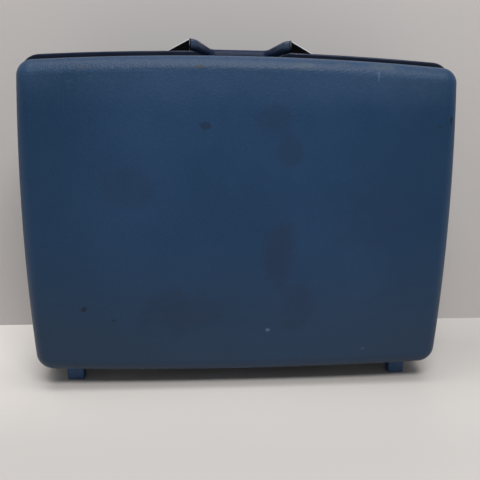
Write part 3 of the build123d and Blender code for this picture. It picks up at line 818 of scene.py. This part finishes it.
def stitched_box(finish, x, z):
    """The thread of a box with a cross in it, sewn through the webbing near both its ends."""
    low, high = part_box("packing_strap_right")
    across = abs(abs(x) - (low[0] + high[0]) / 2) / box_half_x
    from_end = (z - low[2]).smaller(high[2] - z)
    along = abs(from_end - box_from_end) / box_half_z
    edge = abs(across.larger(along) - 1.0)
    cross = abs(across - along) + finish.span(across.larger(along), 0.96, 1.0)
    line = finish.span(edge.smaller(cross), 0.09, 0.045)
    dash = ((across * box_half_x + along * box_half_z) / stitch_length).math("PINGPONG", 0.5)
    return line * finish.span(dash, 0.10, 0.18)


def webbing_finish():
    finish = Finish("woven_webbing")
    x, _, z = finish.axes()
    ribs = finish.node("TexWave", {"wave_type": "BANDS", "bands_direction": "Z"}, {
        "Vector": finish.place(), "Scale": 230.0, "Distortion": 0.6,
    })
    warp = finish.node("TexWave", {"wave_type": "BANDS", "bands_direction": "X"}, {
        "Vector": finish.place(), "Scale": 330.0, "Distortion": 0.4,
    })
    fuzz = finish.noise(1500.0, detail=2.0, rough=0.7)
    colour = finish.blend(ribs * 0.6, webbing_deep, webbing_blue)
    colour = finish.blend(fuzz * 0.25, colour, webbing_fuzz)
    thread = stitched_box(finish, x, z)
    colour = finish.blend(thread * 0.85, colour, thread_colour)
    rough = finish.span(fuzz, 0.3, 0.7, 0.62, 0.78)
    normal = finish.bump(ribs + warp * 0.7 + fuzz * 0.4 + thread, 0.0003)
    return finish.surface(
        Base_Color=colour, Roughness=rough, Normal=normal, Sheen_Weight=0.2, Sheen_Roughness=0.5,
    )


webbing = webbing_finish()
print("nodes in the webbing's finish:", len(webbing.node_tree.nodes))

# %% [markdown]
# Cloth that is only folded looks too perfect. Sewn satin puckers: the thread draws it in along a
# seam, and what lies behind pushes it out between the seams. A short cloth simulation gives that.
# The seams are pinned, the cloth is told to grow a little, a gentle pressure stands for the foam
# and gravity is off. After some steps the places are read back, each one held within a limit and
# in front of the solid behind it.

# %% Let the cloth settle
settle_steps = 20
settle_mass = 0.002
settle_slack = 0.0003


def settle(piece, held, room, growth, pressure, limit):
    """Swells and puckers the cloth between the held points, towards the room in front of it."""
    piece.vertex_groups.new(name="sewn").add(held, 1.0, "REPLACE")
    cloth = piece.modifiers.new("settle", "CLOTH")
    cloth.settings.vertex_group_mass = "sewn"
    cloth.settings.mass = settle_mass
    cloth.settings.shrink_min = -growth
    cloth.settings.use_pressure = True
    cloth.settings.uniform_pressure_force = pressure
    cloth.settings.effector_weights.gravity = 0.0
    cloth.collision_settings.use_collision = False
    cloth.point_cache.frame_end = settle_steps
    for step in range(1, settle_steps + 1):
        bpy.context.scene.frame_set(step)
    settled = piece.evaluated_get(bpy.context.evaluated_depsgraph_get()).data
    places = [vertex.co.copy() for vertex in settled.vertices]
    piece.modifiers.remove(cloth)
    piece.vertex_groups.clear()
    bpy.context.scene.frame_set(1)
    total = 0.0
    for vertex, place in zip(piece.data.vertices, places):
        move = place - vertex.co
        move -= room * min(0.0, move.dot(room) + settle_slack)
        if move.length > limit:
            move *= limit / move.length
        vertex.co += move
        total += move.dot(room)
    free = len(places) - len(held)
    print(piece.name, "settled, a free point moved", round(total / free / mm, 2), "mm")


print("the cloth settles in", settle_steps, "steps")

# %% [markdown]
# Now the fold itself. From the grid's middle, the first 70 hundredths of the way out are the back
# panel, the next 8 are the rounded corner, and the rest is the band. The panel is crowned as the
# shell is. In the base, the cloth has to pass under the sunk handle well, which has two steps.

# %% Fold a tray
panel_share = 0.70
bend_share = 0.78
lining_offset = 4.6 * mm
well_clear = 5.2 * mm
well_slope = 1.4
well_mid_y = 34.5 * mm
well_steps = [(70.0 * mm, 30.5 * mm, 462.4 * mm), (38.0 * mm, 22.5 * mm, 450.4 * mm)]


def tray_point(across, up, rim_y):
    """Where a point of the flat grid, from -1 to 1, lies in the tray of the base."""
    reach = max(abs(across), abs(up), 0.001)
    deep_y = half_depth - lining_offset
    bend = roll_r - lining_offset
    share = min(1.0, reach / panel_share)
    angle = math.pi / 2 * min(1.0, max(0.0, (reach - panel_share) / (bend_share - panel_share)))
    run = max(0.0, (reach - bend_share) / (1 - bend_share))
    inset = lining_offset + bend * (1 - math.sin(angle))
    depth = deep_y - bend * (1 - math.cos(angle)) - run * (deep_y - bend - rim_y)
    x, z = outline_point(across / reach, up / reach, inset)
    return Vector((x * share, depth, z * share + middle_z))


def crown_fall(x, z):
    """How far the crowned back has fallen towards the rim at a place on it."""
    return face_crown * (x * x + (z - middle_z) ** 2) / (shell_half_width**2 + half_height**2)


def under_well(x, y, z):
    """Keeps the cloth below the sunk handle well, falling softly at its sides."""
    for half_x, half_y, floor_z in well_steps:
        past = max(abs(x) - half_x - well_clear, abs(y - well_mid_y) - half_y - well_clear, 0)
        z = min(z, floor_z - well_clear + past * well_slope)
    return z


print("depth of the tray at its middle:", round(tray_point(0, 0, 0).y, 4))

# %% [markdown]
# The tray is folded first and quilted after. The quilting is a field of soft diamonds, low along
# the seams and full between them. A real lining is pressed flat wherever something is sewn over
# it, so the diamonds fade out under the pocket and the straps, and along the seam of the panel.
# The lowest points are the sewn ones that stay put while the cloth settles. Its thickness comes
# from a Solidify modifier, which keeps the seen side exactly where it was folded.

# %% Quilt the linings
tray_cells_x = 170
tray_cells_z = 130
cloth_thick = 1.2 * mm
quilt_puff = 3.0 * mm
quilt_fullness = 0.45
seam_fade = 0.04
press_soft = 16.0 * mm
band_fade = 60
band_ripple = 1.1 * mm
ripple_scale = 26.0
sewn_below = 1.2 * mm
quilt_growth = 0.06
quilt_pressure = 4.0
quilt_limit = 6.0 * mm


def quilt_height(x, z):
    """How far the quilting stands up between its two families of seams."""
    rising = math.sin(math.pi * ((x + z) / quilt_pitch - 0.5))
    falling = math.sin(math.pi * ((x - z) / quilt_pitch - 0.5))
    return quilt_puff * abs(rising * falling) ** quilt_fullness


def clear_of(x, z, covers):
    """0 where something is sewn over the quilting, rising to 1 clear of it."""
    share = 1.0
    for low, high in covers:
        off = max(low[0] - x, x - high[0], low[2] - z, z - high[2])
        share = min(share, max(0.0, off / press_soft))
    return share


def lining(name, node, side, rim_y, body, covers):
    """The quilted tray of one half: side -1 is the lid, 1 the base."""
    shape = bmesh.new()
    bmesh.ops.create_grid(shape, x_segments=tray_cells_x, y_segments=tray_cells_z, size=1.0)
    sewn = []
    for number, vertex in enumerate(shape.verts):
        across, up = vertex.co.xy
        reach = max(abs(across), abs(up))
        on_panel = min(1.0, max(0.0, (bend_share - reach) / (bend_share - panel_share)))
        on_band = min(1.0, max(0.0, (reach - panel_share) * (1.0 - reach) * band_fade))
        place = tray_point(across, up, rim_y)
        by_seam = min(1.0, max(0.0, (panel_share - reach) / seam_fade))
        lift = quilt_height(place.x, place.z) * clear_of(place.x, place.z, covers) * by_seam
        if lift < sewn_below or under_well(*place) < place.z:
            sewn.append(number)
        place.y -= crown_fall(place.x, place.z) * on_panel + lift
        ripple = band_ripple * noise.noise(place * ripple_scale) * on_band
        place.x -= math.copysign(ripple, place.x)
        place.z -= math.copysign(ripple, place.z - middle_z)
        if side > 0:
            place.z = under_well(*place)
        place.y *= side
        vertex.co = place
    if side < 0:
        bmesh.ops.reverse_faces(shape, faces=shape.faces)
    piece = add_piece(name, shape, quilted_satin, body)
    settle(piece, sewn, Vector((0, -side, 0)), quilt_growth, quilt_pressure, quilt_limit)
    foam = piece.modifiers.new("foam", "SOLIDIFY")
    foam.thickness = cloth_thick
    foam.offset = -1.0
    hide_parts(node)
    return piece


lid_rim = 29.8 * mm
base_rim = -0.5 * mm
pocket_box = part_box("lid_pocket")
strap_boxes = [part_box("packing_strap_left"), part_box("packing_strap_right")]
lid_quilt = lining("lid_quilted_lining", "lid_lining", -1, lid_rim, "lid", [pocket_box])
base_quilt = lining("base_quilted_lining", "base_lining", 1, base_rim, "base", strap_boxes)
print("lining faces:", len(lid_quilt.data.polygons), len(base_quilt.data.polygons))

# %% [markdown]
# A cord of piping is sewn into the seam between the back panel and the band, and a bound edge
# finishes the cloth at the frame. Both are thin tubes round the whole case. A curve with a round
# bevel is the short way to a tube: it needs only the points that it passes through.

# %% Piping
piping_cloth = satin_finish("piping_satin", shade(58, 80, 116), shade(44, 64, 98), False)
piping_r = 1.5 * mm
binding_r = 1.3 * mm
piping_points = 240


def tube(name, points, radius, material, body, closed=False):
    """A round tube through a row of points, as a mesh."""
    curve = bpy.data.curves.new(name, "CURVE")
    curve.dimensions = "3D"
    curve.bevel_depth = radius
    curve.bevel_resolution = 2
    spline = curve.splines.new("POLY")
    spline.points.add(len(points) - 1)
    for control, place in zip(spline.points, points):
        control.co = (*place, 1)
    spline.use_cyclic_u = closed
    holder = bpy.data.objects.new(name, curve)
    shape = bmesh.new()
    shape.from_mesh(bpy.data.meshes.new_from_object(holder))
    bpy.data.objects.remove(holder)
    return add_piece(name, shape, material, body)


def round_tray(side, reach, rim_y, lift):
    """Points round one tray at a share of its reach, lifted off the cloth."""
    points = []
    for number in range(piping_points):
        angle = 2 * math.pi * number / piping_points
        across, up = math.cos(angle), math.sin(angle)
        stretch = reach / max(abs(across), abs(up))
        place = tray_point(across * stretch, up * stretch, rim_y)
        place.y -= crown_fall(place.x, place.z) * (1.0 if reach <= panel_share else 0.0) + lift
        place.y *= side
        points.append(place)
    return points


for label, side, rim_y in (("lid", -1, lid_rim), ("base", 1, base_rim)):
    seam = round_tray(side, panel_share, rim_y, piping_r)
    tube(label + "_seam_piping", seam, piping_r, piping_cloth, label, closed=True)
    edge = round_tray(side, 1.0, rim_y + binding_r, 0.0)
    tube(label + "_edge_binding", edge, binding_r, piping_cloth, label, closed=True)
print("piping:", piping_points, "points round each tray")

# %% [markdown]
# The pocket in the lid is a panel of plain satin, cut a third wider than it hangs. It is sewn down
# at its sides and foot, and an elastic draws its top together. The spare cloth shows as pleats
# that are deep at the elastic and die out downwards. A grid gives the panel, and each point is
# lifted by the swell of a full pocket and by the pleats. Above the elastic is a short ruffled cuff.

# %% Shape of the pocket
pocket_low, pocket_high = (Vector(corner) for corner in pocket_box)
pocket_corner = 14.0 * mm
pocket_back = 0.8 * mm
pocket_swell = 6.0 * mm
pocket_rumple = 1.6 * mm
side_rise = 9
foot_rise = 7
pleat_count = 27
pleat_depth = 2.4 * mm
pleat_wander = 0.012
elastic_at = 0.93
cuff_ruffle = 1.3 * mm


def pocket_point(across, up):
    """A place on the pocket: across from -1 to 1, up from 0 at its foot to 1 at its top."""
    height = up * (pocket_high.z - pocket_low.z)
    below = max(0.0, pocket_corner - height)
    narrow = pocket_corner - math.sqrt(pocket_corner**2 - below**2)
    off_side = min(1.0, (1 - abs(across)) * side_rise)
    off_foot = min(1.0, up * foot_rise)
    free = (off_side * off_foot) ** 0.5
    wander = pleat_wander * noise.noise(Vector((across * 3, up * 2.2, 0.4)))
    pleat = math.sin(2 * math.pi * pleat_count * (across / 2 + wander))
    depth = 0.10 + 0.90 * min(1.0, up / elastic_at) ** 1.7
    sag = math.sin(math.pi * min(1.0, up / elastic_at)) ** 0.7
    rumple = noise.noise(Vector((across * 7, up * 4, 2.0)))
    lift = pocket_swell * (0.35 + 0.65 * sag)
    lift += pleat_depth * depth * pleat + pocket_rumple * rumple
    if up > elastic_at:
        cuff = (up - elastic_at) / (1 - elastic_at)
        lift = pocket_swell * 0.35 + pleat_depth * pleat * (1 - cuff * 0.5)
        lift += cuff_ruffle * cuff * math.sin(2 * math.pi * pleat_count * across * 1.5)
    x = across * (pocket_high.x - narrow)
    y = pocket_low.y + pocket_back + lift * free
    return Vector((x, y, pocket_low.z + height))


print("pleats across the pocket:", pleat_count)

# %% [markdown]
# The panel settles as the linings do: its sides, its foot and all of the cuff are held, and the
# cloth between them swells forward. The elastic shows as a thin tube along the pleats, and so
# does the hem at the top.

# %% Gathered pocket
pocket_cells = (300, 60)
pocket_growth = 0.05
pocket_pressure = 3.0
pocket_limit = 7.0 * mm
side_seam_at = 0.99
seam_height = 0.01
satin_thick = 0.7 * mm
elastic_r = 1.5 * mm
hem_r = 0.8 * mm
line_steps = 300


def pocket_line(up):
    """Points across the pocket at one height."""
    return [pocket_point(2 * number / line_steps - 1, up) for number in range(line_steps + 1)]


shape = bmesh.new()
bmesh.ops.create_grid(shape, x_segments=pocket_cells[0], y_segments=pocket_cells[1], size=1.0)
sewn = []
for number, vertex in enumerate(shape.verts):
    across, up = vertex.co.x, (vertex.co.y + 1) / 2
    if abs(across) > side_seam_at or not seam_height < up < elastic_at - seam_height:
        sewn.append(number)
    vertex.co = pocket_point(across, up)
bmesh.ops.reverse_faces(shape, faces=shape.faces)
pocket_area = sum(face.calc_area() for face in shape.faces)
pocket = add_piece("gathered_pocket", shape, plain_satin, "lid")
settle(pocket, sewn, Vector((0, 1, 0)), pocket_growth, pocket_pressure, pocket_limit)
cloth = pocket.modifiers.new("cloth", "SOLIDIFY")
cloth.thickness = satin_thick
cloth.offset = 0.0
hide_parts("lid_pocket")

elastic = tube("pocket_elastic", pocket_line(elastic_at), elastic_r, piping_cloth, "lid")
hem = tube("pocket_hem", pocket_line(1.0), hem_r, piping_cloth, "lid")

# %% [markdown]
# The packing straps are woven webbing, sewn down at both ends and tightened by a slide buckle.
# Webbing keeps its width, so it is a ribbon: a row of points across, extruded along a path. The
# loose tail comes up through the buckle, goes over its bar and lies back on the strap. Its path
# is a list in millimetres: how far above the buckle's middle, and how far off the strap's front.

# %% Packing straps
webbing_thick = 1.2 * mm
webbing_edge = 0.3 * mm
webbing_cells = 6
strap_lift = 0.9 * mm
strap_steps = 90
strap_wave = 0.5 * mm
tail_back = 1.6 * mm
tail_path = [
    (12.0, 1.6), (8.5, 2.2), (5.0, 4.6), (2.2, 6.0), (-2.2, 6.0), (-5.0, 4.6), (-8.5, 2.9),
    (-14.0, 2.3), (-30.0, 2.3), (-46.0, 2.7), (-62.0, 3.4), (-78.0, 2.8), (-90.0, 3.6),
]


def ribbon(name, path, width, body):
    """A woven strap along a path, its width lying along X."""
    shape = bmesh.new()
    row = [shape.verts.new(path[0] + Vector((width * (number / webbing_cells - 0.5), 0, 0)))
           for number in range(webbing_cells + 1)]
    edges = [shape.edges.new(pair) for pair in zip(row, row[1:])]
    for here, after in zip(path, path[1:]):
        made = bmesh.ops.extrude_edge_only(shape, edges=edges)["geom"]
        moved = [item for item in made if isinstance(item, bmesh.types.BMVert)]
        edges = [item for item in made if isinstance(item, bmesh.types.BMEdge)
                 and all(vertex in moved for vertex in item.verts)]
        bmesh.ops.translate(shape, verts=moved, vec=after - here)
    bmesh.ops.recalc_face_normals(shape, faces=shape.faces)
    piece = add_piece(name, shape, webbing, body)
    weave = piece.modifiers.new("weave", "SOLIDIFY")
    weave.thickness = webbing_thick
    weave.offset = 0.0
    edge = piece.modifiers.new("edge", "BEVEL")
    edge.width = webbing_edge
    edge.segments = 2
    return piece


for label, (low, high) in zip(("left", "right"), strap_boxes):
    middle_x = (low[0] + high[0]) / 2
    face_y = high[1] - strap_lift
    path = []
    for number in range(strap_steps + 1):
        share = number / strap_steps
        z = low[2] + share * (high[2] - low[2])
        sway = noise.noise(Vector((middle_x * 9, 0, z * 22)))
        wave = strap_wave * sway * math.sin(math.pi * share)
        path.append(Vector((middle_x, face_y + wave, z)))
    strap = ribbon("webbing_strap_" + label, path, high[0] - low[0], "base")
    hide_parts("packing_strap_" + label)
    buckle_low, buckle_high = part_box("strap_buckle_" + label)
    buckle_z = (buckle_low[2] + buckle_high[2]) / 2
    tail_y = low[1] + tail_back
    tail = [Vector((middle_x, tail_y - off * mm, buckle_z + up * mm)) for up, off in tail_path]
    ribbon("webbing_tail_" + label, tail, high[0] - low[0], "base")
print("straps:", len(strap_boxes), "of", strap_steps, "steps each")

# %% [markdown]
# Rivets and screws hold the fittings on. Each head is a low dome: a sphere's upper half, pressed
# flat. A ray cast on the solid piece finds where the head sits and which way the metal faces
# there, so a rivet on a tilted plate tilts with it.

# %% Rivets and screws
rivet_r = 2.1 * mm
screw_r = 3.2 * mm
head_height = 0.45
ray_start = 30.0 * mm
plate_rivet_x = 26 * mm
plate_rivet_ys = (5 * mm, 29 * mm)
leaf_rivet_inset = 4.5 * mm
leaf_rivet_shares = (0.12, 0.5, 0.88)
down = (0, 0, -1)
up_from_below = (0, 0, 1)


def head(shape, node, start, direction, radius):
    """Adds one domed head where a ray from `start` meets the node."""
    hit, place, normal, _ = nodes[node].ray_cast(start, direction)
    if not hit:
        print("no seat on", node, tuple(round(value, 4) for value in start))
        return
    made = bmesh.ops.create_uvsphere(shape, u_segments=20, v_segments=12, radius=radius)["verts"]
    bmesh.ops.scale(shape, vec=(1, 1, head_height), verts=made)
    sit = Matrix.Translation(place) @ normal.to_track_quat("Z", "Y").to_matrix().to_4x4()
    bmesh.ops.transform(shape, matrix=sit, verts=made)


def heads(name, node, direction, places, radius, body, finish):
    """A group of heads on one node, seen from a direction."""
    shape = bmesh.new()
    direction = Vector(direction)
    for place in places:
        head(shape, node, Vector(place) - direction * ray_start, direction, radius)
    return add_piece(name, shape, finish, body)


bpy.context.view_layer.update()
made_heads = []
for label in ("left", "right"):
    plate = "latch_plate_" + label
    low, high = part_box(plate)
    middle_x = (low[0] + high[0]) / 2
    places = [(middle_x + side * plate_rivet_x, low[1] + along, high[2])
              for side in (-1, 1) for along in plate_rivet_ys]
    made_heads.append(heads("latch_rivets_" + label, plate, down, places, rivet_r, "base",
                            finishes["latch"]))
    for body in ("base", "lid"):
        leaf = body + "_hinge_leaf_" + label
        low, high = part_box(leaf)
        row_y = high[1] - leaf_rivet_inset if body == "base" else low[1] + leaf_rivet_inset
        places = [(low[0] + share * (high[0] - low[0]), row_y, low[2])
                  for share in leaf_rivet_shares]
        made_heads.append(heads(body + "_hinge_rivets_" + label, leaf, up_from_below, places,
                                rivet_r, body, finishes["steel"]))
    for place, body in (("front", "lid"), ("rear", "base")):
        foot = place + "_foot_" + label
        low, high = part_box(foot)
        middle = ((low[0] + high[0]) / 2, (low[1] + high[1]) / 2, low[2])
        made_heads.append(heads(place + "_foot_screw_" + label, foot, up_from_below, [middle],
                                screw_r, body, finishes["steel"]))
print("groups of heads:", len(made_heads))
